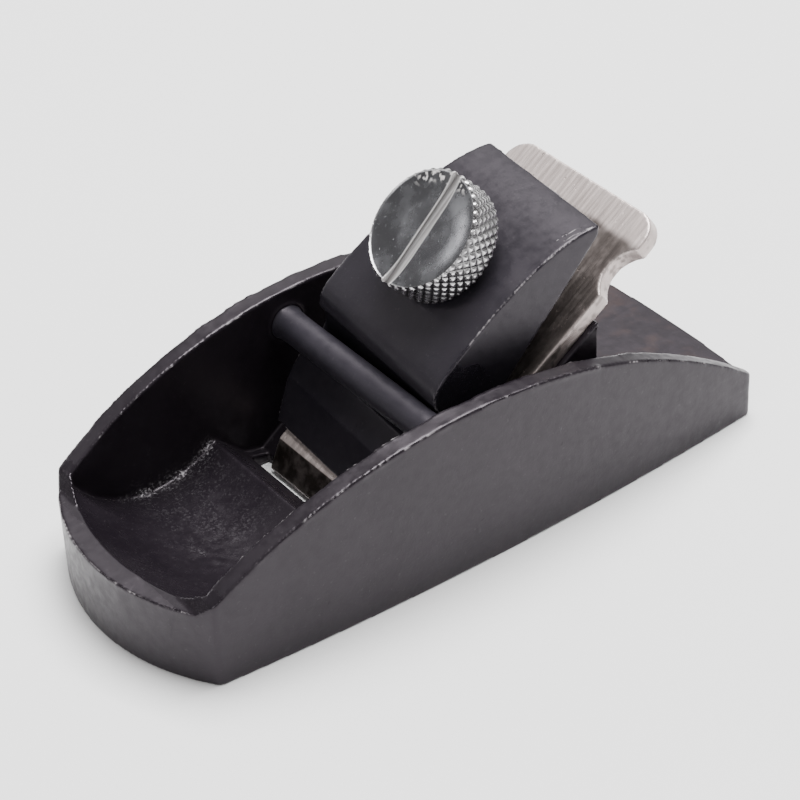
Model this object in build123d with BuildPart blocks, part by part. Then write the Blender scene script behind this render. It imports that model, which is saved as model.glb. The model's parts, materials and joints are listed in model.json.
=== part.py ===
# Small block plane: cast body, cross bar, lever cap, thumb screw and cutting iron.
# Frame: +X towards the toe, +Y towards the left wall, +Z up, sole on Z = 0, millimetres.
# The origin is the middle of the sole's bounding box.
from build123d import *
from math import cos, sin, tan, radians
import os

# ---- driving dimensions ----
body_length = 84.3
end_width = 31.9          # across the body at the corners of toe and heel
mid_width = 35.3          # across the bowed walls half way along
toe_bulge = 5.4           # how far the rounded nose stands past its corners
heel_bulge = 0.8
wall_thickness = 2.3
nose_height = 9.7
nose_rim = 2.6            # flat top of the nose, front to back
rim_bulge = 3.0           # the rim's inner edge is rounded by this much
rim_radius = 31.0         # and by this radius, from above
floor_height = 5.05       # heel floor, behind the frog
heel_height = 5.6         # wall tops at the heel corners
corner_radius = 1.0       # upright corners of toe and heel
wall_step_length = 1.2    # length of the slope from wall tops down to the nose
wall_peak = 22.0
wall_step_height = 11.2   # wall tops where they step up from the nose
wall_top_back = ((-30.2, 13.3), (-19.0, 18.5))   # places on the wall tops: X, height
wall_top_middle_x = 3.2
wall_top_front = (20.0, 19.4)
wall_top_start_drop = 1.3 # the curve of the wall tops starts this far under the heel corners

bed_angle = 35.3          # slope of the frog from the sole, degrees
bed_width = 26.1
frog_back_x = -19.2       # upright rear face of the frog
mouth_back_x = 9.7
mouth_front_x = 12.3
mouth_width = 27.4
lip_height = 2.0
ridge_x = 16.5
ridge_height = 5.9
scoop_low_x = 25.5
scoop_depth_height = 3.2
scoop_front_x = 36.5
scoop_turn_x = 33.5       # the scoop's front rises from here
scoop_turn_height = 5.2
head_room = 8             # how far the cutting shapes reach past the wall tops

iron_thickness = 2.25
iron_length = 50.2
iron_top_width = 25.4
iron_edge_width = 23.8
iron_corner_radius = 3.0
bevel_length = 3.75
notch_radius = 3.9
notch_depth = 1.9
notch_up = 42.7           # notch centre, up the bed from the cutting edge

bar_radius = 2.0
bar_up = 14.9             # bar centre, up the bed and off the bed
bar_off = 10.5
bar_socket_depth = 1.0
bar_running_gap = 0.02
bar_collar_radius = 2.5
bar_collar_height = 0.3

cap_tip_half_width = 12.7
cap_top_half_width = 10.55
cap_tip_up = 4.4
cap_top_up = 45.6
cap_pivot_up = 12.0
cap_swing = 3.8           # the cap sits a little askew under the bar, degrees
cap_side_shift = -0.4
seat_gap = 0.15           # between the iron and the cap's flat toe
groove_back_up = 17.9     # the crown's front face, behind the bar
groove_floor_off = 8.15   # floor of the groove that the bar presses on

knob_radius = 7.45
knob_height = 4.8
knob_up = 32.6            # centre of the knob's back face
knob_off = 15.3
screw_lean = 8.15         # lean of the screw towards the toe, degrees
stud_radius = 2.4
stud_bore_gap = 0.08
stud_point_chamfer = 0.5
stud_pin_radius = 1.44    # the stud is reduced to a pin inside the head
stud_pin_length = 3.2
slot_width = 1.2
slot_depth = 1.1
face_dish_depth = 0.6
face_rim = 0.5
head_chamfer = 0.4

# ---- derived places ----
toe_x = body_length / 2
heel_x = -body_length / 2
toe_corner_x = toe_x - toe_bulge
heel_corner_x = heel_x + heel_bulge
edge_x = 10.96            # cutting edge of the iron at rest, just above the sole
edge_z = 0.45

slope = radians(bed_angle)
uphill = Vector(-cos(slope), 0, sin(slope))
off_bed = Vector(sin(slope), 0, cos(slope))
across = Vector(0, 1, 0)
edge_point = Vector(edge_x, 0, edge_z)


def on_bed(up, side, off):
    """Point at a distance up the bed, across it and off it."""
    return edge_point + uphill * up + across * side + off_bed * off


def bed_height(x):
    """Height of the bed's surface above the sole at a given X."""
    return edge_z + (edge_x - x) * tan(slope)


# Side view of the bed: local X runs up the bed, local Y stands off it.
bed_side = Plane(origin=edge_point, x_dir=uphill, z_dir=across)
# Plan view of the bed: local X runs up the bed, local Y is +Y.
bed_plan = Plane(origin=edge_point, x_dir=uphill, z_dir=-off_bed)

swing = radians(cap_swing)
cap_uphill = uphill * cos(swing) + across * sin(swing)
cap_across = across * cos(swing) - uphill * sin(swing)
cap_origin = on_bed(cap_pivot_up, cap_side_shift, 0) - cap_uphill * cap_pivot_up
cap_side = Plane(origin=cap_origin, x_dir=cap_uphill, z_dir=cap_across)
cap_plan = Plane(origin=cap_origin, x_dir=cap_uphill, z_dir=-off_bed)

lean = radians(screw_lean)
screw_axis = off_bed * cos(lean) - cap_uphill * sin(lean)
knob_back = cap_origin + cap_uphill * knob_up + off_bed * knob_off
knob_plane = Plane(origin=knob_back, x_dir=cap_across, z_dir=screw_axis)
# Length of stud between the knob's back face and the top of the iron.
stud_length = (knob_off - iron_thickness - seat_gap) / cos(lean) - stud_radius * tan(lean)

bar_centre = on_bed(bar_up, 0, bar_off)
bar_half_width = mid_width / 2 - wall_thickness


def plan_outline(inset, front_x, front_bulge, back_x, back_bulge):
    """Closed plan of the body: bowed sides, rounded nose and heel."""
    corner_y = end_width / 2 - inset
    bow_y = mid_width / 2 - inset
    with BuildLine() as outline:
        ThreePointArc((back_x, corner_y), (0, bow_y), (front_x, corner_y))
        ThreePointArc((front_x, corner_y), (front_x + front_bulge, 0), (front_x, -corner_y))
        ThreePointArc((front_x, -corner_y), (0, -bow_y), (back_x, -corner_y))
        ThreePointArc((back_x, -corner_y), (back_x - back_bulge, 0), (back_x, corner_y))
    return outline.line


# ---- hollow between the walls, cut out of the casting ----
hollow_front_x = toe_x - nose_rim - rim_bulge
with BuildPart() as hollow:
    with BuildSketch(Plane.XY):
        add(plan_outline(wall_thickness, hollow_front_x, rim_bulge, heel_corner_x - 6, 0.1))
        make_face()
    extrude(amount=wall_peak + head_room)
    with BuildSketch(Plane.XZ):
        with BuildLine():
            Polyline(
                (heel_x - head_room, wall_peak + head_room),
                (heel_x - head_room, floor_height),
                (edge_x - (floor_height - edge_z) / tan(slope), floor_height),
                (mouth_back_x, bed_height(mouth_back_x)),
                (mouth_front_x, lip_height),
                (ridge_x, ridge_height),
            )
            ThreePointArc(
                (ridge_x, ridge_height),
                (scoop_low_x, scoop_depth_height),
                (scoop_front_x, nose_height),
            )
            Polyline(
                (scoop_front_x, nose_height),
                (scoop_front_x, wall_peak + head_room),
                (heel_x - head_room, wall_peak + head_room),
            )
        make_face()
    extrude(amount=mid_width, both=True, mode=Mode.INTERSECT)

# ---- rounded front of the finger scoop, following the nose ----
rim_inner_x = toe_x - nose_rim
scoop_front_back_x = scoop_low_x + 2
rim_centre_x = rim_inner_x - rim_radius
with BuildPart() as scoop_front:
    with BuildSketch(Plane.XZ):
        with BuildLine():
            Polyline(
                (rim_inner_x, nose_height),
                (rim_inner_x, wall_peak + head_room),
                (scoop_front_back_x, wall_peak + head_room),
                (scoop_front_back_x, scoop_depth_height + 0.2),
            )
            ThreePointArc(
                (scoop_front_back_x, scoop_depth_height + 0.2),
                (scoop_turn_x, scoop_turn_height),
                (rim_inner_x, nose_height),
            )
        make_face()
    revolve(axis=Axis((rim_centre_x, 0, 0), (0, 0, 1)), revolution_arc=360)
    with BuildSketch(Plane.XY):
        add(plan_outline(wall_thickness, hollow_front_x, rim_bulge, heel_corner_x, 0.1))
        make_face()
    extrude(amount=wall_peak + head_room, mode=Mode.INTERSECT)
    split(bisect_by=Plane(origin=(scoop_low_x, 0, 0), z_dir=(1, 0, 0)), keep=Keep.TOP)

# ---- body casting ----
wall_top_start = (heel_x - 1, heel_height - wall_top_start_drop)
with BuildPart() as body_casting:
    with BuildSketch(Plane.XY):
        add(plan_outline(0, toe_corner_x, toe_bulge, heel_corner_x, heel_bulge))
        make_face()
    extrude(amount=wall_peak + 2)
    with BuildSketch(Plane.XZ):
        with BuildLine():
            Polyline(
                (toe_corner_x, wall_step_height),
                (toe_corner_x + wall_step_length, nose_height),
                (toe_x + 1, nose_height),
                (toe_x + 1, 0),
                (heel_x - 1, 0),
                wall_top_start,
            )
            Spline(
                wall_top_start,
                *wall_top_back,
                (wall_top_middle_x, wall_peak),
                wall_top_front,
                (toe_corner_x, wall_step_height),
            )
        make_face()
    extrude(amount=mid_width, both=True, mode=Mode.INTERSECT)
    add(hollow.part, mode=Mode.SUBTRACT)
    add(scoop_front.part, mode=Mode.SUBTRACT)
    with BuildSketch(Plane.XZ):
        with BuildLine():
            Polyline(
                (frog_back_x, floor_height - 1),
                (frog_back_x, bed_height(frog_back_x)),
                (edge_x - (floor_height - 1 - edge_z) / tan(slope), floor_height - 1),
                close=True,
            )
        make_face()
    extrude(amount=bed_width / 2, both=True)
    with BuildSketch(Plane.XY.offset(-1)):
        with Locations(((mouth_back_x + mouth_front_x) / 2, 0)):
            Rectangle(mouth_front_x - mouth_back_x, mouth_width)
    extrude(amount=lip_height + 2, mode=Mode.SUBTRACT)
    upright_edges = edges().filter_by(Axis.Z)
    corner_edges = upright_edges.filter_by(lambda e: abs(abs(e.center().Y) - end_width / 2) < 0.05)
    fillet(corner_edges, radius=corner_radius)
    for side in (1, -1):
        collar_plane = Plane(
            origin=(bar_centre.X, side * (bar_half_width + wall_thickness / 2), bar_centre.Z),
            z_dir=(0, -side, 0),
        )
        with BuildSketch(collar_plane):
            Circle(bar_collar_radius)
        extrude(amount=wall_thickness / 2 + bar_collar_height)
        with BuildSketch(collar_plane.offset(wall_thickness / 2 - bar_socket_depth)):
            Circle(bar_radius + bar_running_gap)
        extrude(amount=bar_socket_depth + bar_collar_height + 1, mode=Mode.SUBTRACT)
body_casting.part.label = "body_casting"

# ---- cross bar ----
with BuildPart() as cross_bar:
    with BuildSketch(Plane(origin=bar_centre, z_dir=across)):
        Circle(bar_radius)
    extrude(amount=bar_half_width + bar_socket_depth - 0.1, both=True)
cross_bar.part.label = "cross_bar"

# ---- cutting iron ----
with BuildPart() as cutting_iron:
    with BuildSketch(bed_side):
        with BuildLine():
            Polyline(
                (0, 0),
                (iron_length, 0),
                (iron_length, iron_thickness),
                (bevel_length, iron_thickness),
                close=True,
            )
        make_face()
    extrude(amount=iron_top_width, both=True)
    with BuildSketch(bed_plan):
        with BuildLine():
            Polyline(
                (-1, iron_edge_width / 2),
                (iron_length, iron_top_width / 2),
                (iron_length, -iron_top_width / 2),
                (-1, -iron_edge_width / 2),
                close=True,
            )
        make_face()
        fillet(vertices().group_by(Axis.X)[-1], radius=iron_corner_radius)
        with Locations(
            (notch_up, iron_top_width / 2 - notch_depth + notch_radius),
            (notch_up, -iron_top_width / 2 + notch_depth - notch_radius),
        ):
            Circle(notch_radius, mode=Mode.SUBTRACT)
    extrude(amount=iron_thickness * 2, both=True, mode=Mode.INTERSECT)
cutting_iron.part.label = "cutting_iron"

# ---- lever cap ----
cap_seat = iron_thickness + seat_gap
with BuildPart() as lever_cap:
    with BuildSketch(cap_side):
        with BuildLine():
            Line((groove_back_up, bar_off + 0.8), (groove_back_up, bar_off))
            RadiusArc((groove_back_up, bar_off), (bar_up + 0.6, groove_floor_off), bar_radius + 0.7)
            Polyline(
                (bar_up + 0.6, groove_floor_off),
                (bar_up - 1.0, groove_floor_off),
                (13.1, 8.5),
                (9.35, 7.1),
                (cap_tip_up, cap_seat + 0.45),
                (cap_tip_up + 0.2, cap_seat),
            )
            Polyline((cap_tip_up + 0.2, cap_seat), (15.0, cap_seat), (44.7, 8.85), (cap_top_up, 9.75))
            Spline(
                (cap_top_up, 9.75),
                (42.0, 11.8),
                (38.0, 13.0),
                (26.0, 13.85),
                (21.5, 13.45),
                (18.9, 12.6),
                (groove_back_up, bar_off + 0.8),
            )
        make_face()
    extrude(amount=cap_tip_half_width + 2, both=True)
    with BuildSketch(cap_plan):
        with BuildLine():
            Polyline(
                (cap_tip_up - 1, cap_tip_half_width),
                (cap_top_up + 1, cap_top_half_width),
                (cap_top_up + 1, -cap_top_half_width),
                (cap_tip_up - 1, -cap_tip_half_width),
                close=True,
            )
        make_face()
    extrude(amount=30, both=True, mode=Mode.INTERSECT)
    with BuildSketch(knob_plane):
        Circle(stud_radius + stud_bore_gap)
    extrude(amount=knob_off, both=True, mode=Mode.SUBTRACT)
lever_cap.part.label = "lever_cap"

# ---- thumb screw: stud with a flat point, and a dished, slotted head ----
with BuildPart() as thumb_screw_stud:
    with BuildSketch(knob_plane):
        Circle(stud_radius)
    extrude(amount=-stud_length)
    chamfer(faces().sort_by(Axis(knob_back, screw_axis))[0].edges(), length=stud_point_chamfer)
    with BuildSketch(knob_plane):
        Circle(stud_pin_radius)
    extrude(amount=stud_pin_length)
thumb_screw_stud.part.label = "thumb_screw_stud"

with BuildPart() as thumb_screw_head:
    with BuildSketch(knob_plane):
        Circle(knob_radius)
    extrude(amount=knob_height)
    chamfer(edges().filter_by(GeomType.CIRCLE), length=head_chamfer)
    with BuildSketch(knob_plane):
        Circle(stud_pin_radius + bar_running_gap)
    extrude(amount=stud_pin_length + bar_running_gap, mode=Mode.SUBTRACT)
    with BuildSketch(knob_plane.offset(knob_height - face_dish_depth)):
        Circle(knob_radius - face_rim)
    extrude(amount=face_dish_depth + 1, mode=Mode.SUBTRACT)
    with BuildSketch(knob_plane.offset(knob_height - slot_depth)):
        Rectangle(slot_width, knob_radius * 2 + 1)
    extrude(amount=slot_depth + 1, mode=Mode.SUBTRACT)
thumb_screw_head.part.label = "thumb_screw_head"

os.makedirs("parts", exist_ok=True)
export_step(body_casting.part, "parts/body_casting.step")
export_step(cross_bar.part, "parts/cross_bar.step")
export_step(cutting_iron.part, "parts/cutting_iron.step")
export_step(lever_cap.part, "parts/lever_cap.step")
export_step(thumb_screw_stud.part, "parts/thumb_screw_stud.step")
export_step(thumb_screw_head.part, "parts/thumb_screw_head.step")
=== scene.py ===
"""Looks of a small block plane: enamelled casting, lever cap and bar, ground iron, plated thumb screw."""
import itertools
import json
import math

import bmesh
import bpy
import numpy as np
from mathutils import Matrix, Vector


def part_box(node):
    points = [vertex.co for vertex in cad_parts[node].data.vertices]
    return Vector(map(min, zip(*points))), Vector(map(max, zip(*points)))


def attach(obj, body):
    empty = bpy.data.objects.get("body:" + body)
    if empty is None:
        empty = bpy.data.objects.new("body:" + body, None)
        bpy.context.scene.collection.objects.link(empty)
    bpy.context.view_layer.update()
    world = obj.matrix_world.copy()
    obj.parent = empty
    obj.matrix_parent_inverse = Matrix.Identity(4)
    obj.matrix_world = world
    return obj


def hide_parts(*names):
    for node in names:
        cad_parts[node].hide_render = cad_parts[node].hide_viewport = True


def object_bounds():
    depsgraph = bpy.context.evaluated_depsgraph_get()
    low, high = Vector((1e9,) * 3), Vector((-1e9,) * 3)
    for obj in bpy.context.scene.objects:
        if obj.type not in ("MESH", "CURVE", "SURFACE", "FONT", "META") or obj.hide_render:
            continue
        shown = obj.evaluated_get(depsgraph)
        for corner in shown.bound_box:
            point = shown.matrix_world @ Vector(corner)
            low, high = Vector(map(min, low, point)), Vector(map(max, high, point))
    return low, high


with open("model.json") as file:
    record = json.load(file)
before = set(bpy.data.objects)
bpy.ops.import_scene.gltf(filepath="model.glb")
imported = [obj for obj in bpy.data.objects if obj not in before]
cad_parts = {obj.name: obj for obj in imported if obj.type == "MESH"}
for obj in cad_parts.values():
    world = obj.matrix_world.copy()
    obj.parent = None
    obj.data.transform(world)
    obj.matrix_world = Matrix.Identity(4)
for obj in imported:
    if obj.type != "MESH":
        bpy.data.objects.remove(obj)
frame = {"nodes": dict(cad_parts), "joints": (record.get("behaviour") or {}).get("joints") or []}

MM = 0.001
cad_low, cad_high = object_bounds()
nodes = frame["nodes"]
joints = {j["name"]: j for j in frame["joints"]}

# ---- places that every piece shares, in the row frame ----
uphill = Vector(joints["iron_slide"]["axis"]).normalized()
across = Vector((0, 1, 0))
off_bed = uphill.cross(across).normalized()
if off_bed.z < 0:
    off_bed.negate()
bed_slope = math.atan2(uphill.z, -uphill.x)
screw_axis = Vector(joints["screw_turn"]["axis"]).normalized()
knob_back = Vector(joints["screw_turn"]["pos_m"])
bar_centre = Vector(joints["cap_tilt"]["pos_m"])
body_low, body_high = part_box("body_casting")


# ---- mesh helpers ----
def link(name, mesh):
    piece = bpy.data.objects.new(name, mesh)
    bpy.context.scene.collection.objects.link(piece)
    return piece


def baked(piece):
    """Replaces the piece's mesh by the mesh that its modifiers make."""
    bpy.context.view_layer.update()
    graph = bpy.context.evaluated_depsgraph_get()
    mesh = bpy.data.meshes.new_from_object(piece.evaluated_get(graph))
    piece.modifiers.clear()
    piece.data = mesh


def skinned(name, rings):
    """A closed mesh through rings of points, which all have the same count."""
    mesh = bpy.data.meshes.new(name)
    bm = bmesh.new()
    loops = [[bm.verts.new(place) for place in ring] for ring in rings]
    for a, b in zip(loops, loops[1:]):
        for k in range(len(a)):
            after = (k + 1) % len(a)
            bm.faces.new((a[k], a[after], b[after], b[k]))
    bm.faces.new(list(reversed(loops[0])))
    bm.faces.new(loops[-1])
    bmesh.ops.recalc_face_normals(bm, faces=bm.faces)
    bm.to_mesh(mesh)
    bm.free()
    return mesh


def add_voxels(piece, size):
    remesh = piece.modifiers.new("voxels", "REMESH")
    remesh.mode = "VOXEL"
    remesh.voxel_size = size


def add_smoothing(piece, name, times):
    smooth = piece.modifiers.new(name, "SMOOTH")
    smooth.factor = 0.5
    smooth.iterations = times


def softened(node, name, voxel, smoothing, most_triangles):
    """A copy of a CAD node with rounded edges: small voxels laid back on the CAD's faces, then smoothed."""
    piece = link(name, nodes[node].data.copy())
    add_voxels(piece, voxel)
    add_smoothing(piece, "settle", 3)
    piece.modifiers.new("wrap", "SHRINKWRAP").target = nodes[node]
    add_smoothing(piece, "round", smoothing)
    baked(piece)
    triangles = sum(len(p.vertices) - 2 for p in piece.data.polygons)
    if triangles > most_triangles:
        thin = piece.modifiers.new("thin", "DECIMATE")
        thin.ratio = most_triangles / triangles
        baked(piece)
    return piece


def points_of(mesh):
    co = np.empty(len(mesh.vertices) * 3)
    mesh.vertices.foreach_get("co", co)
    return co.reshape(-1, 3)


def normals_of(mesh):
    normal = np.empty(len(mesh.vertices) * 3)
    mesh.vertices.foreach_get("normal", normal)
    return normal.reshape(-1, 3)


def move_points(mesh, points):
    """Moves a mesh's points, held inside the CAD box."""
    points = np.clip(points, cad_low, cad_high)
    mesh.vertices.foreach_set("co", points.astype(np.float32).ravel())
    mesh.update()


def edge_pairs(mesh):
    pairs = np.empty(len(mesh.edges) * 2, int)
    mesh.edges.foreach_get("vertices", pairs)
    return pairs.reshape(-1, 2)


def spread(values, pairs, steps):
    """Averages a value at each point with its neighbours' values."""
    count = np.bincount(pairs.ravel(), minlength=len(values)).clip(1)
    for _ in range(steps):
        total = np.zeros(len(values))
        np.add.at(total, pairs[:, 0], values[pairs[:, 1]])
        np.add.at(total, pairs[:, 1], values[pairs[:, 0]])
        values = 0.5 * values + 0.5 * total / count
    return values


def sharpness(mesh, round_radius):
    """At each point, 1 on an outside edge at least as tight as the radius, -1 in such an inside corner."""
    points, normals, pairs = points_of(mesh), normals_of(mesh), edge_pairs(mesh)
    count = np.bincount(pairs.ravel(), minlength=len(points)).clip(1)
    along = points[pairs[:, 1]] - points[pairs[:, 0]]
    length = np.linalg.norm(along, axis=1).clip(1e-9)
    bend = np.einsum("ij,ij->i", normals[pairs[:, 1]] - normals[pairs[:, 0]], along) / length**2
    total = np.zeros(len(points))
    np.add.at(total, pairs[:, 0], bend)
    np.add.at(total, pairs[:, 1], bend)
    return np.clip(spread(total / count, pairs, 1) * round_radius, -1, 1)


def lumps(points, size, seed):
    """Smooth noise from -1 to 1 whose lumps are about as large as size, from a seeded lattice."""
    side = 48
    lattice = np.random.default_rng(seed).uniform(-1, 1, (side, side, side))
    place = points / size
    cell = np.floor(place).astype(int)
    part = place - cell
    part = part * part * (3 - 2 * part)
    value = np.zeros(len(points))
    for corner in itertools.product((0, 1), repeat=3):
        index = (cell + corner) % side
        weight = np.prod(np.where(corner, part, 1 - part), axis=1)
        value += weight * lattice[tuple(index.T)]
    return value


def step(value, low, high):
    """0 below low, 1 above high, smooth between them."""
    t = np.clip((value - low) / (high - low), 0, 1)
    return t * t * (3 - 2 * t)


def store(mesh, **painted):
    """Paints named values from 0 to 1 on the points; one number paints them all."""
    for name, values in painted.items():
        attribute = mesh.attributes.new(name, "FLOAT", "POINT")
        every = np.broadcast_to(np.clip(values, 0, 1), len(mesh.vertices))
        attribute.data.foreach_set("value", every.astype(np.float32))


def shade_smooth(piece):
    piece.data.polygons.foreach_set("use_smooth", [True] * len(piece.data.polygons))


def dress(piece, body, material, node):
    """Rides the piece on its body, gives it its material and hides the CAD node it stands for."""
    piece.data.materials.clear()
    piece.data.materials.append(material)
    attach(piece, body)
    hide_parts(node)


# ---- material helpers ----
def new_material(name):
    material = bpy.data.materials.new(name)
    material.use_nodes = True
    tree = material.node_tree
    tree.nodes.clear()
    shader = tree.nodes.new("ShaderNodeBsdfPrincipled")
    output = tree.nodes.new("ShaderNodeOutputMaterial")
    tree.links.new(shader.outputs["BSDF"], output.inputs["Surface"])
    return material, tree, shader


def put(tree, socket, value):
    """Links a socket's output, or sets a plain value."""
    if isinstance(value, bpy.types.NodeSocket):
        tree.links.new(value, socket)
    else:
        socket.default_value = value


def coordinates(tree):
    return tree.nodes.new("ShaderNodeTexCoord").outputs["Object"]


def stretched(tree, vector, scale):
    mapping = tree.nodes.new("ShaderNodeMapping")
    tree.links.new(vector, mapping.inputs["Vector"])
    mapping.inputs["Scale"].default_value = scale
    return mapping.outputs["Vector"]


def grain(tree, vector, size, detail=2.0, rough=0.5):
    """Noise from 0 to 1 with grains of about the given size in metres."""
    texture = tree.nodes.new("ShaderNodeTexNoise")
    tree.links.new(vector, texture.inputs["Vector"])
    texture.inputs["Scale"].default_value = 1 / size
    texture.inputs["Detail"].default_value = detail
    texture.inputs["Roughness"].default_value = rough
    return texture.outputs["Fac"]


def ranged(tree, value, low, high, out_low=0.0, out_high=1.0):
    """Maps low..high to out_low..out_high, held at the ends."""
    ranger = tree.nodes.new("ShaderNodeMapRange")
    ranger.interpolation_type = "SMOOTHSTEP"
    tree.links.new(value, ranger.inputs["Value"])
    for name, number in (("From Min", low), ("From Max", high), ("To Min", out_low), ("To Max", out_high)):
        ranger.inputs[name].default_value = number
    return ranger.outputs["Result"]


def math_node(tree, operation, first, second):
    worker = tree.nodes.new("ShaderNodeMath")
    worker.operation = operation
    put(tree, worker.inputs[0], first)
    put(tree, worker.inputs[1], second)
    return worker.outputs["Value"]


def mixed(tree, factor, first, second):
    """first where factor is 0 and second where it is 1, both colours."""
    mixer = tree.nodes.new("ShaderNodeMix")
    mixer.data_type = "RGBA"
    put(tree, mixer.inputs[0], factor)
    put(tree, mixer.inputs[6], first)
    put(tree, mixer.inputs[7], second)
    return mixer.outputs[2]


def painted_value(tree, name):
    reader = tree.nodes.new("ShaderNodeAttribute")
    reader.attribute_name = name
    return reader.outputs["Fac"]


def bumped(tree, height, distance, strength=1.0, base=None):
    bump = tree.nodes.new("ShaderNodeBump")
    bump.inputs["Distance"].default_value = distance
    bump.inputs["Strength"].default_value = strength
    tree.links.new(height, bump.inputs["Height"])
    if base is not None:
        tree.links.new(base, bump.inputs["Normal"])
    return bump.outputs["Normal"]


# ---- materials ----
def paint(name, dark, light, plain_roughness, peel_depth):
    """Charcoal enamel over cast iron. It reads edge (chips and painted glints), rough (sandy casting,
    partly painted glints), rust and wet (glossier).
    """
    dust = (0.10, 0.09, 0.095, 1)
    pale_sand_and_glint = (0.42, 0.40, 0.42, 1)
    brown = (0.045, 0.026, 0.020, 1)
    bare_iron_and_glint = (0.34, 0.32, 0.33, 1)
    material, tree, shader = new_material(name)
    where = coordinates(tree)
    broad = grain(tree, where, 9 * MM, 3.0)
    peel = grain(tree, where, 1.1 * MM, 3.0)
    sand = grain(tree, where, 0.35 * MM, 4.0, 0.65)
    specks = ranged(tree, grain(tree, where, 0.5 * MM, 2.0), 0.66, 0.74, 0.0, 0.11)
    edge = painted_value(tree, "edge")
    rough = painted_value(tree, "rough")
    rust = painted_value(tree, "rust")
    wet = painted_value(tree, "wet")
    tone = mixed(tree, ranged(tree, broad, 0.35, 0.65), dark, light)
    dusty = mixed(tree, specks, tone, dust)
    # pale sand on rough places: grit on the casting, partly painted glints of its grains
    sandy_and_glinting = mixed(tree, math_node(tree, "MULTIPLY", rough, ranged(tree, sand, 0.5, 0.66)), dusty, pale_sand_and_glint)
    blotches = ranged(tree, grain(tree, where, 3.5 * MM, 4.0), 0.45, 0.7, 0, 0.4)
    rusted = mixed(tree, math_node(tree, "MULTIPLY", rust, blotches), sandy_and_glinting, brown)
    # edge marks: bare-iron chips and painted glints along the arrises
    chip_and_glint_noise = ranged(tree, grain(tree, where, 2.6 * MM, 5.0, 0.7), 0.47, 0.60)
    chips_and_glints = math_node(tree, "MULTIPLY", ranged(tree, edge, 0.55, 0.95, 0.0, 0.75), chip_and_glint_noise)
    put(tree, shader.inputs["Base Color"], mixed(tree, chips_and_glints, rusted, bare_iron_and_glint))
    shine = ranged(tree, peel, 0.3, 0.7, plain_roughness - 0.05, plain_roughness + 0.07)
    dulled = math_node(tree, "ADD", shine, math_node(tree, "MULTIPLY", rough, 0.12))
    rubbed = math_node(tree, "SUBTRACT", dulled, math_node(tree, "MULTIPLY", edge, 0.14))
    glossy = math_node(tree, "SUBTRACT", rubbed, math_node(tree, "MULTIPLY", wet, 0.15))
    put(tree, shader.inputs["Roughness"], glossy)
    shader.inputs["Specular IOR Level"].default_value = 0.34
    shader.inputs["Specular Tint"].default_value = (1.0, 0.90, 0.99, 1)
    fine = bumped(tree, peel, peel_depth)
    sandiness = math_node(tree, "ADD", math_node(tree, "MULTIPLY", rough, 0.95), 0.05)
    height = math_node(tree, "MULTIPLY", sand, sandiness)
    put(tree, shader.inputs["Normal"], bumped(tree, height, 0.22 * MM, 1.0, fine))
    return material


def ground_steel(name):
    """Bare steel ground along its length, a little stained and pitted, with painted shade by the cap and a
    bevel painted dark. It reads edge, and a stain value that also carries painted shade.
    """
    dull, bright, line = (0.60, 0.515, 0.49, 1), (0.72, 0.63, 0.60, 1), (0.78, 0.70, 0.67, 1)
    tarnish = (0.52, 0.44, 0.405, 1)
    # near-black colour for stains and for painted shade
    dark_stain = (0.026, 0.020, 0.017, 1)
    pit = (0.10, 0.07, 0.055, 1)
    rubbed = (0.74, 0.67, 0.65, 1)
    material, tree, shader = new_material(name)
    where = coordinates(tree)
    turn = tree.nodes.new("ShaderNodeVectorRotate")
    turn.rotation_type = "Y_AXIS"
    turn.inputs["Angle"].default_value = -bed_slope
    tree.links.new(where, turn.inputs["Vector"])
    along = turn.outputs["Vector"]
    scratches = grain(tree, stretched(tree, along, (0.03, 1, 1)), 0.12 * MM, 4.0, 0.7)
    lines = grain(tree, stretched(tree, along, (0.05, 1, 1)), 0.5 * MM, 3.0)
    cloud = grain(tree, where, 5 * MM, 4.0)
    pits = ranged(tree, grain(tree, where, 0.6 * MM, 3.0), 0.68, 0.74, 0.0, 0.7)
    edge = painted_value(tree, "edge")
    stain = painted_value(tree, "stain")
    steel = mixed(tree, ranged(tree, scratches, 0.35, 0.68), dull, bright)
    lined = mixed(tree, ranged(tree, lines, 0.5, 0.75, 0.0, 0.45), steel, line)
    clouded = mixed(tree, ranged(tree, cloud, 0.5, 0.75, 0.0, 0.35), lined, tarnish)
    patchy = ranged(tree, grain(tree, where, 1.5 * MM, 4.0), 0.3, 0.6, 0.85, 1)
    # darkens to near black by the stain value: stains, plus painted shade by the cap and on the bevel
    stained = mixed(tree, math_node(tree, "MULTIPLY", stain, patchy), clouded, dark_stain)
    pitted = mixed(tree, math_node(tree, "MULTIPLY", pits, 0.55), stained, pit)
    worn = mixed(tree, math_node(tree, "MULTIPLY", edge, 0.25), pitted, rubbed)
    put(tree, shader.inputs["Base Color"], worn)
    shader.inputs["Metallic"].default_value = 0.85
    put(tree, shader.inputs["Roughness"], ranged(tree, lines, 0.3, 0.7, 0.36, 0.52))
    brushed = bumped(tree, scratches, 0.02 * MM)
    put(tree, shader.inputs["Normal"], bumped(tree, pits, -0.05 * MM, 1.0, brushed))
    return material


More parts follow.
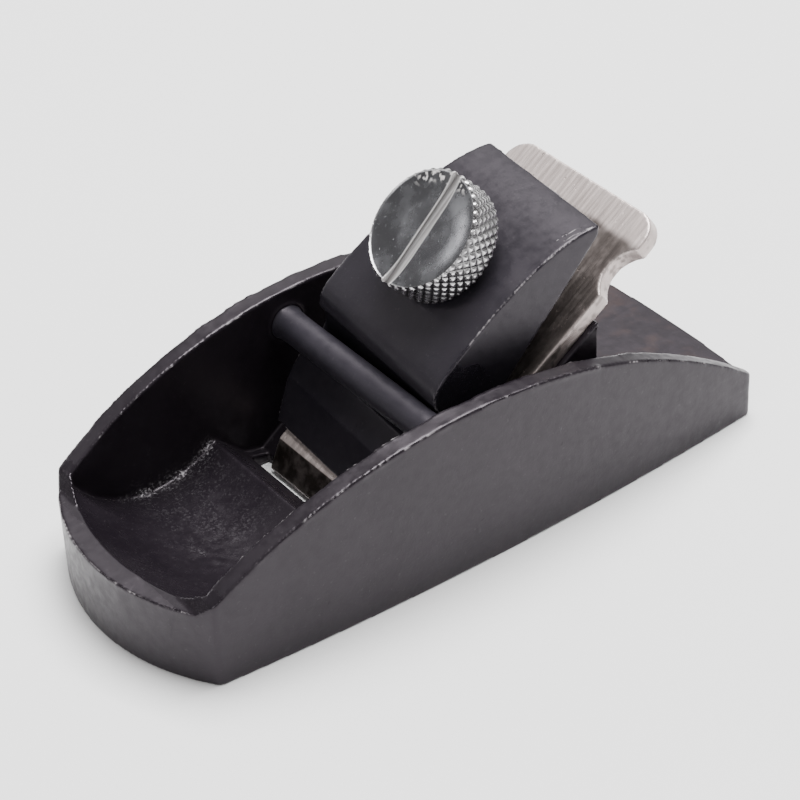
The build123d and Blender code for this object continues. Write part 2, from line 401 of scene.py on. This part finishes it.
def plating(name):
    """Bright plating. It reads crest (painted shade in the grooves), dish (face painted dark as its
    reflection) and frost (matt and pale, partly painted light).
    """
    # the dark colour is painted shade in the knurl grooves
    groove_shade, clean = (0.10, 0.098, 0.10, 1), (0.86, 0.85, 0.86, 1)
    # the dish's face is painted dark grey: a painted reflection of dark surroundings
    dish_reflection_dark, dish_reflection_light, spot = (0.16, 0.16, 0.17, 1), (0.22, 0.222, 0.235, 1), (0.4, 0.41, 0.43, 1)
    # pale matt colour, also used for painted light on the slot floor and painted highlights on its edges
    frosted = (0.80, 0.77, 0.76, 1)
    material, tree, shader = new_material(name)
    where = coordinates(tree)
    cloud = grain(tree, where, 2.6 * MM, 5.0, 0.6)
    spots = ranged(tree, grain(tree, where, 0.4 * MM, 3.0, 0.6), 0.63, 0.74)
    crest = painted_value(tree, "crest")
    dish = painted_value(tree, "dish")
    frost = painted_value(tree, "frost")
    bright = mixed(tree, crest, groove_shade, clean)
    face = mixed(tree, ranged(tree, cloud, 0.42, 0.68), dish_reflection_dark, dish_reflection_light)
    spotted = mixed(tree, math_node(tree, "MULTIPLY", spots, 0.3), face, spot)
    faced = mixed(tree, dish, bright, spotted)
    put(tree, shader.inputs["Base Color"], mixed(tree, frost, faced, frosted))
    put(tree, shader.inputs["Metallic"], ranged(tree, frost, 0.0, 1.0, 1.0, 0.5))
    shine = ranged(tree, cloud, 0.3, 0.7, 0.22, 0.30)
    matted = math_node(tree, "ADD", shine, math_node(tree, "MULTIPLY", frost, 0.3))
    put(tree, shader.inputs["Roughness"], matted)
    dents = bumped(tree, cloud, 0.02 * MM, 0.8)
    put(tree, shader.inputs["Normal"], bumped(tree, spots, -0.02 * MM, 1.0, dents))
    return material


def floor_board(name):
    """Pale, faintly clouded board."""
    material, tree, shader = new_material(name)
    cloud = grain(tree, coordinates(tree), 300 * MM, 2.0)
    put(tree, shader.inputs["Base Color"], mixed(tree, cloud, (0.86, 0.86, 0.86, 1), (0.89, 0.89, 0.89, 1)))
    shader.inputs["Roughness"].default_value = 0.75
    return material


body_paint = paint("body_enamel", (0.0078, 0.0060, 0.0082, 1), (0.0108, 0.0086, 0.0112, 1), 0.37, 0.02 * MM)
bar_paint = paint("bar_enamel", (0.0125, 0.0115, 0.0155, 1), (0.0165, 0.0150, 0.0200, 1), 0.44, 0.02 * MM)
cap_paint = paint("cap_enamel", (0.0105, 0.0094, 0.0126, 1), (0.0135, 0.0120, 0.0155, 1), 0.37, 0.01 * MM)
iron_steel = ground_steel("ground_steel")
screw_plating = plating("bright_plating")


# ---- body casting: enamel gathers in lumps along the wall tops, and the scoop is sandy ----
wall_thickness = 2.3 * MM
scoop_rear = 13 * MM
scoop_top = 12 * MM
toe_rim = 3 * MM
heel_floor_front = 19 * MM
heel_floor_top = 8 * MM
lowest_wall_top = 5.2 * MM
corner_start, corner_end = 16 * MM, 31 * MM
patch_x, patch_y = 22 * MM, 10.5 * MM
patch_length, patch_width = 3.5 * MM, 2.5 * MM
paint_bead = 0.11 * MM


def wall_top(points):
    """Height of the side walls' tops at each point's place along the plane."""
    x, y, z = points.T
    stations = np.linspace(body_low.x, body_high.x, 90)
    outer = np.abs(y) > 0.8 * (body_high.y - wall_thickness)
    heights = [z[outer & (np.abs(x - station) < 0.8 * MM)].max(initial=0) for station in stations]
    return np.interp(x, stations, heights)


def sandy_corner(points, nook, pairs):
    """1 along the corner between the scoop and the far wall, broken up by lumps."""
    x, y, z = points.T
    junction = np.clip(4 * spread(nook, pairs, 7), 0, 1) * (y < 0) * (z < 10 * MM)
    ends = step(x, corner_start, corner_start + 2 * MM) * step(corner_end - x, 0, 4 * MM)
    return junction * ends * (0.25 + 0.75 * step(lumps(points, 1.1 * MM, 6), -0.35, 0.35))


def sandy_patch(points):
    """1 in an uneven patch on the scoop, by the near wall."""
    x, y, _ = points.T
    from_middle = ((x - patch_x) / patch_length) ** 2 + ((y - patch_y) / patch_width) ** 2
    return np.exp(-from_middle) * step(lumps(points, 1.2 * MM, 5), -0.2, 0.4)


def make_body():
    piece = softened("body_casting", "body_shell", 0.21 * MM, 7, 190_000)
    mesh = piece.data
    points, normals = points_of(mesh), normals_of(mesh)
    x, _, z = points.T
    sharp = sharpness(mesh, 0.5 * MM)
    arris = np.clip(sharp, 0, 1)
    nook = np.clip(-sharp, 0, 1)
    top = wall_top(points)
    on_top = step(z, top - 1.0 * MM, top - 0.3 * MM) * step(z, lowest_wall_top, lowest_wall_top + 0.8 * MM)
    in_scoop = step(x, scoop_rear, scoop_rear + 3 * MM) * (x < body_high.x - toe_rim)
    in_scoop = in_scoop * (z < scoop_top) * step(normals[:, 2], 0.2, 0.5)
    patch = sandy_patch(points)
    corner = sandy_corner(points, nook, edge_pairs(mesh))
    rough = np.clip(in_scoop * (0.004 + 0.09 * patch) + corner, 0, 1) * step(z, 0.5 * MM, 1.5 * MM)
    bead = paint_bead * on_top * (0.4 + arris) * step(lumps(points, 2.2 * MM, 11), -0.3, 0.7)
    wave = 0.014 * MM * lumps(points, 5 * MM, 12) + 0.008 * MM * lumps(points, 1.5 * MM, 13)
    crumbs = 0.14 * MM * rough * lumps(points, 0.7 * MM, 14)
    off_floor = step(z, 0.15 * MM, 0.9 * MM)
    shift = (bead + wave + crumbs) * off_floor
    move_points(mesh, points + normals * shift[:, None])
    on_heel_floor = step(-x, heel_floor_front, heel_floor_front + 2 * MM)
    on_heel_floor = on_heel_floor * (z < heel_floor_top) * step(normals[:, 2], 0.6, 0.9)
    near_sole = step(-z, -2.5 * MM, -0.5 * MM)
    store(
        mesh,
        # edge marks strongest on the wall tops, where they are painted glints
        edge=arris * (0.45 + 0.55 * on_top),
        rough=rough,
        wet=in_scoop * (1 - patch),
        rust=on_heel_floor + 0.25 * near_sole,
    )
    shade_smooth(piece)
    dress(piece, "body", body_paint, "body_casting")


# ---- lever cap: it widens to its rear, so the near upper edge of its crown slants ----
crown_edge_ahead, crown_edge_rear = 11.6 * MM, 13.2 * MM
crown_edge_run = 12 * MM
scratch_width = 0.13 * MM


def scratches(points, normals):
    """Two short scratches beside the cap's near upper edge, close to its rear end."""
    on_crown = normals @ np.array(off_bed) > 0.6
    up = points @ np.array(uphill)
    rear = up[on_crown].max()
    edge = np.interp(up, (rear - crown_edge_run, rear), (crown_edge_ahead, crown_edge_rear))
    marks = np.zeros(len(points))
    for inset, start, end in ((0.9 * MM, 5.5 * MM, 1.2 * MM), (1.6 * MM, 6.2 * MM, 2.6 * MM)):
        along = (up > rear - start) & (up < rear - end)
        marks += np.exp(-((points[:, 1] - edge + inset) / scratch_width) ** 2) * along * on_crown
    return marks


def wet_flank(points, normals):
    """The toe end of each of the cap's sides, glossier up to a jagged line."""
    up = points @ np.array(uphill)
    line = up.min() + 0.47 * (up.max() - up.min())
    jagged = 1.6 * MM * lumps(points, 1.6 * MM, 24) + 0.5 * MM * lumps(points, 0.5 * MM, 25)
    return step(line + jagged - up, 0, 0.35 * MM) * step(np.abs(normals[:, 1]), 0.6, 0.9)


def make_cap():
    piece = softened("lever_cap", "cap_shell", 0.2 * MM, 3, 120_000)
    mesh = piece.data
    points, normals = points_of(mesh), normals_of(mesh)
    arris = np.clip(sharpness(mesh, 0.5 * MM), 0, 1)
    wave = 0.012 * MM * lumps(points, 6 * MM, 21) + 0.006 * MM * lumps(points, 1.4 * MM, 22)
    nicks = -0.03 * MM * arris * step(lumps(points, 0.9 * MM, 23), 0.25, 0.7)
    move_points(mesh, points + normals * (wave + nicks)[:, None])
    # the cap's arrises get the same chips and painted glints, with real scratches
    store(mesh, edge=arris + scratches(points, normals), rough=0, rust=0, wet=wet_flank(points, normals))
    shade_smooth(piece)
    dress(piece, "cap", cap_paint, "lever_cap")


# ---- cross bar: a painted rod, thicker where paint gathers at its ends ----
bar_socket_depth = 1.0 * MM
bar_flare = 0.34 * MM
bar_flare_reach = 0.55 * MM


def rod_rings(radius, half, count, around):
    """Rings of points on a rod along Y through the bar's centre."""
    turns = [2 * math.pi * k / around for k in range(around)]
    rings = []
    for i in range(count):
        y = half * (2 * i / (count - 1) - 1)
        rings.append([bar_centre + Vector((radius * math.cos(t), y, radius * math.sin(t))) for t in turns])
    return rings


def make_bar():
    low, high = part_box("cross_bar")
    half = (high.y - low.y) / 2
    mesh = skinned("bar_rod", rod_rings((high.x - low.x) / 2, half, count=200, around=64))
    piece = link("bar_rod", mesh)
    points, normals = points_of(mesh), normals_of(mesh)
    from_end = half - np.abs(points[:, 1])
    outside = step(from_end, bar_socket_depth, bar_socket_depth + 0.1 * MM)
    from_wall = np.clip(from_end - bar_socket_depth + 0.1 * MM, 0, 1)
    gathered = (bar_flare + 0.16 * MM * lumps(points, 0.8 * MM, 33)) * np.exp(-from_wall / bar_flare_reach)
    wave = 0.03 * MM * lumps(points, 3 * MM, 31) + 0.018 * MM * lumps(points, 1.1 * MM, 32) - 0.03 * MM
    move_points(mesh, points + normals * (outside * (wave + gathered))[:, None])
    store(mesh, edge=0, rough=0, rust=0, wet=0)
    shade_smooth(piece)
    dress(piece, "body", bar_paint, "cross_bar")


# ---- cutting iron: crisp, with a small break on each edge ----
iron_edge_break = 0.14 * MM
bevel_reach = 4 * MM


def cap_shade_band(points):
    """1 on the part of the iron that the cap covers and in a narrow band around it: painted shade of the
    cap, partly grime.
    """
    cap = points_of(nodes["lever_cap"].data)
    cap_up, cap_y = cap @ np.array(uphill), cap[:, 1]
    rear = cap_up > cap_up.max() - 1.5 * MM
    front = cap_up < cap_up.min() + 6 * MM
    up = points @ np.array(uphill)
    ends = (cap_up[front].mean(), cap_up[rear].mean())
    near = np.interp(up, ends, (cap_y[front].max(), cap_y[rear].max()))
    far = np.interp(up, ends, (cap_y[front].min(), cap_y[rear].min()))
    reach = np.minimum(near - points[:, 1], points[:, 1] - far) + 1.3 * MM
    ahead = cap_up.max() + 0.6 * MM - up
    ragged = 0.25 * MM * lumps(points, 1.5 * MM, 42)
    under = step(reach + ragged, 0, 1.1 * MM) * step(ahead + ragged, 0, 1.0 * MM)
    return under * step(up - ends[0], 0, 2 * MM)


def break_edges(piece, width):
    """Bevels the piece's sharp edges by a small width."""
    bm = bmesh.new()
    bm.from_mesh(piece.data)
    bmesh.ops.remove_doubles(bm, verts=bm.verts, dist=0.002 * MM)
    bmesh.ops.dissolve_limit(bm, angle_limit=math.radians(1.0), verts=bm.verts, edges=bm.edges)
    creased = [e for e in bm.edges if len(e.link_faces) == 2 and e.calc_face_angle() > math.radians(30)]
    bmesh.ops.bevel(bm, geom=creased, offset=width, segments=2, profile=0.6, affect="EDGES")
    bm.to_mesh(piece.data)
    bm.free()


def iron_stain(points, normals):
    """Painted shade by the cap, partly grime; a bevel painted dark as a painted reflection; a darker
    underside; speckled sides.
    """
    up_face = normals @ np.array(off_bed)
    tip_face = -(normals @ np.array(uphill))
    low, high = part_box("cutting_iron")
    from_tip = (points - np.array((high.x, 0, low.z))) @ np.array(uphill)
    # the bevel is painted near black: a painted reflection of dark surroundings
    bevel = (from_tip < bevel_reach) * step(tip_face, 0.25, 0.4)
    speckle = step(lumps(points, 0.5 * MM, 43), 0.1, 0.5)
    sides = (0.26 + 0.36 * speckle) * step(np.abs(normals[:, 1]), 0.6, 0.9)
    # painted shade of the cap on the iron's top face, partly oil grime
    cap_shade_and_grime = 0.85 * cap_shade_band(points) * step(up_face, 0.6, 0.9)
    return sides + 0.3 * step(-up_face, 0.7, 0.95) + bevel + cap_shade_and_grime


def make_iron():
    piece = link("ground_iron", nodes["cutting_iron"].data.copy())
    break_edges(piece, iron_edge_break)
    add_voxels(piece, 0.195 * MM)
    add_smoothing(piece, "round", 1)
    baked(piece)
    mesh = piece.data
    points, normals = points_of(mesh), normals_of(mesh)
    sharp = np.clip(sharpness(mesh, 0.3 * MM), 0, 1)
    nicks = -0.05 * MM * sharp * step(lumps(points, 0.8 * MM, 41), 0.2, 0.7)
    move_points(mesh, points + normals * nicks[:, None])
    store(mesh, edge=sharp, stain=iron_stain(points, normals))
    shade_smooth(piece)
    dress(piece, "iron", iron_steel, "cutting_iron")


# ---- thumb screw: knurled head with a dished, slotted face, and a threaded stud ----
def screw_space():
    """Matrix from the screw's own space, Z along its axis, to the row frame; X lies across the cap."""
    side = (across - screw_axis * across.dot(screw_axis)).normalized()
    up = screw_axis.cross(side)
    turned = Matrix((side, up, screw_axis)).transposed().to_4x4()
    return Matrix.Translation(knob_back) @ turned


def lathe_rings(profile, around, radius_at):
    """Rings of a turned shape; profile holds (radius, height) from the back's middle to the front's."""
    rings = []
    for r, h in profile:
        ring = []
        for k in range(around):
            turn = 2 * math.pi * k / around
            reach = radius_at(r, h, turn)
            ring.append((reach * math.cos(turn), reach * math.sin(turn), h))
        rings.append(ring)
    return rings


def screw_extent(node):
    """How far a screw node reaches along the screw's axis from the knob's back, and its radius."""
    offsets = points_of(nodes[node].data) - np.array(knob_back)
    heights = offsets @ np.array(screw_axis)
    radii = np.linalg.norm(offsets - heights[:, None] * np.array(screw_axis), axis=1)
    return heights.min(), heights.max(), radii.max()


_, knob_height, knob_radius = screw_extent("thumb_screw_head")
slot_width = 1.3 * MM
slot_depth = 0.88 * MM
dish_radius = knob_radius - 0.38 * MM
dish_depth = 0.6 * MM
dish_lip = 0.1 * MM
teeth_around = 40
tooth_length = 1.5 * MM
tooth_depth = 0.2 * MM
samples_per_tooth = 12


def knurl(h, angle):
    """0 at the bottom of a groove and 1 at the top of a tooth."""
    turn = teeth_around * angle / (2 * math.pi)
    heights = []
    for sign in (1, -1):
        phase = (turn + sign * h / tooth_length) % 1
        heights.append(1 - abs(2 * phase - 1))
    return min(min(heights) * 1.3, 1)


def knob_profile():
    edge = 0.3 * MM
    rim_rows, bowl_rows = 38, 44
    profile = [(0.9 * MM, 0), (4 * MM, 0), (knob_radius - edge - tooth_depth * 0.6, 0)]
    profile.append((knob_radius - edge * 0.4, edge * 0.35))
    rim_height = knob_height - 2 * edge
    profile += [(knob_radius, edge + rim_height * i / rim_rows) for i in range(rim_rows + 1)]
    profile.append((knob_radius - edge * 0.3, knob_height - edge * 0.4))
    profile.append((knob_radius - edge * 0.8, knob_height))
    profile.append((dish_radius + 0.05 * MM, knob_height - 0.02 * MM))
    profile.append((dish_radius, knob_height - dish_lip))
    for i in range(1, bowl_rows):
        share = 1 - i / bowl_rows
        depth = min(dish_depth * (1 - share**4) + dish_lip, dish_depth + 0.05 * MM)
        profile.append((max(dish_radius * share, 0.25 * MM), knob_height - depth))
    return profile


def cut_slot(piece):
    """Cuts the screwdriver slot across the piece's front, in the screw's own space."""
    cutter_mesh = bpy.data.meshes.new("slot_cutter")
    bm = bmesh.new()
    bmesh.ops.create_cube(bm, size=1)
    bmesh.ops.scale(bm, vec=(slot_width, 3 * knob_radius, 2 * slot_depth), verts=bm.verts)
    bmesh.ops.translate(bm, vec=(0, 0, knob_height), verts=bm.verts)
    bm.to_mesh(cutter_mesh)
    bm.free()
    cutter = link("slot_cutter", cutter_mesh)
    slot = piece.modifiers.new("slot", "BOOLEAN")
    slot.operation = "DIFFERENCE"
    slot.solver = "EXACT"
    slot.object = cutter
    baked(piece)
    bpy.data.objects.remove(cutter)


def paint_knob(mesh, points, on_rim, in_slot):
    """Stores the head's crest, dish and frost, the latter with painted light on the slot; points are in the
    screw's own space.
    """
    x, y, z = points.T
    radius, angle = np.hypot(x, y), np.arctan2(y, x)
    front = z > knob_height / 2
    crest = np.array([knurl(h, a) for h, a in zip(z, angle)])
    # painted highlights along the slot's two edges
    slot_edge_highlight = np.exp(-((np.abs(x) - slot_width / 2) / (0.12 * MM)) ** 2)
    slot_edge_highlight = slot_edge_highlight * step(z, knob_height - 0.82 * MM, knob_height - 0.7 * MM)
    # dish: where the face gets its painted dark reflection
    dish = (1 - on_rim) * front * (1 - np.clip(slot_edge_highlight, 0, 1)) * ~in_slot
    # slot floor pale and matt, with painted light: brighter in the middle, darker towards its ends
    slot_floor_pale_and_lit = in_slot * (1 - 0.75 * step(np.abs(y), 0.45 * knob_radius, 0.8 * knob_radius))
    from_top = np.abs(angle - math.radians(105))
    upper_rim = step(radius, 0.72 * knob_radius, 0.86 * knob_radius) * step(-from_top, -0.75, -0.45)
    pitting = upper_rim * step(lumps(points, 0.32 * MM, 52), 0.15, 0.40) * front * (1 - on_rim)
    frost = slot_floor_pale_and_lit + 0.7 * slot_edge_highlight * front + pitting
    # crest: 0 paints groove shade, 1 bright plating; off the rim it is 0.8
    store(mesh, crest=np.where(on_rim > 0.5, crest, 0.8), dish=dish, frost=frost)


def make_knob():
    def radius_at(r, h, angle):
        rim = step(np.array(r), dish_radius + 0.05 * MM, knob_radius - 0.1 * MM)
        return r - tooth_depth * float(rim) * (1 - knurl(h, angle))

    rings = lathe_rings(knob_profile(), teeth_around * samples_per_tooth, radius_at)
    piece = link("knurled_head", skinned("knurled_head", rings))
    cut_slot(piece)
    mesh = piece.data
    points = points_of(mesh)
    x, y, z = points.T
    on_rim = step(np.hypot(x, y), dish_radius - 0.02 * MM, dish_radius + 0.06 * MM)
    slot_floor_height = knob_height - slot_depth
    in_slot = (np.abs(x) < slot_width / 2 + 0.02 * MM) & (z > knob_height / 2)
    in_slot = in_slot & (z < slot_floor_height + 0.05 * MM)
    paint_knob(mesh, points, on_rim, in_slot)
    on_face = (z > knob_height - 1 * MM) * (1 - on_rim) * ~in_slot
    points[:, 2] += 0.012 * MM * lumps(points, 1.6 * MM, 51) * on_face
    space = screw_space()
    move_points(mesh, points @ np.array(space.to_3x3()).T + np.array(space.translation))
    shade_smooth(piece)
    mesh.set_sharp_from_angle(angle=math.radians(42))
    dress(piece, "head", screw_plating, "thumb_screw_head")


thread_pitch = 0.8 * MM
thread_depth = 0.4 * MM
thread_core = 1.4 * MM
rows_per_pitch = 8
tip_chamfer = 0.25 * MM


def make_stud():
    point, _, stud_radius = screw_extent("thumb_screw_stud")
    length = -point

    def radius_at(r, h, angle):
        if r <= thread_core:
            return r
        phase = (h / thread_pitch + angle / (2 * math.pi)) % 1
        return r - thread_depth * abs(2 * phase - 1)

    profile = [(0.3 * MM, -length), (thread_core, -length)]
    rows = int(length / thread_pitch * rows_per_pitch)
    tip = 0.15 * MM
    for i in range(rows + 1):
        h = -length + tip + (length - tip) * i / rows
        profile.append((min(stud_radius, stud_radius - tip_chamfer + h + length), h))
    profile += [(thread_core, 0), (0.3 * MM, 0)]
    mesh = skinned("threaded_stud", lathe_rings(profile, 64, radius_at))
    mesh.transform(screw_space())
    piece = link("threaded_stud", mesh)
    # the stud is painted partway towards the groove shade
    store(mesh, crest=0.6, dish=0, frost=0)
    shade_smooth(piece)
    dress(piece, "stud", screw_plating, "thumb_screw_stud")


make_body()
make_cap()
make_bar()
make_iron()
make_knob()
make_stud()


# ---- floor, light and camera ----
def make_floor():
    bm = bmesh.new()
    bmesh.ops.create_grid(bm, x_segments=2, y_segments=2, size=3.0)
    mesh = bpy.data.meshes.new("floor")
    bm.to_mesh(mesh)
    bm.free()
    floor = link("floor", mesh)
    mesh.materials.append(floor_board("pale_floor"))


def softbox(name, towards, distance, size, power):
    """A square area light that shines at the object from a direction."""
    light = bpy.data.lights.new(name, "AREA")
    light.size = size
    light.energy = power
    lamp = bpy.data.objects.new(name, light)
    bpy.context.scene.collection.objects.link(lamp)
    direction = Vector(towards).normalized()
    lamp.location = direction * distance
    lamp.rotation_mode = "QUATERNION"
    lamp.rotation_quaternion = direction.to_track_quat("Z", "Y")


def make_world():
    world = bpy.data.worlds.new("studio")
    bpy.context.scene.world = world
    world.use_nodes = True
    background = world.node_tree.nodes["Background"]
    background.inputs["Color"].default_value = (1.0, 0.985, 0.985, 1)
    background.inputs["Strength"].default_value = 0.42


def make_camera():
    camera = bpy.data.cameras.new("camera")
    camera.sensor_width = 36
    camera.lens = 124.07
    camera.clip_start = 0.01
    holder = bpy.data.objects.new("camera", camera)
    bpy.context.scene.collection.objects.link(holder)
    place = Vector((0.15011, 0.21053, 0.20236))
    right = Vector((-0.79776, 0.60189, -0.03572))
    up = Vector((-0.37973, -0.45558, 0.80511))
    back = Vector((0.4683, 0.6559, 0.5920))
    turned = Matrix((right, up, back)).transposed()
    holder.matrix_world = Matrix.Translation(place) @ turned.to_4x4()
    bpy.context.scene.camera = holder


make_floor()
make_world()
# name, direction, distance and size in metres, power in watts
for lamp in (
    ("key", (-0.24, -0.10, 0.95), 0.75, 0.5, 17.0),
    ("heel", (-0.50, -0.66, 0.62), 0.8, 0.5, 0.6),
    ("toe", (0.9, 0.35, 0.42), 0.8, 0.4, 1.85),
    ("glint", (0.39, -0.84, 0.38), 0.7, 0.12, 0.3),
):
    softbox(*lamp)
make_camera()
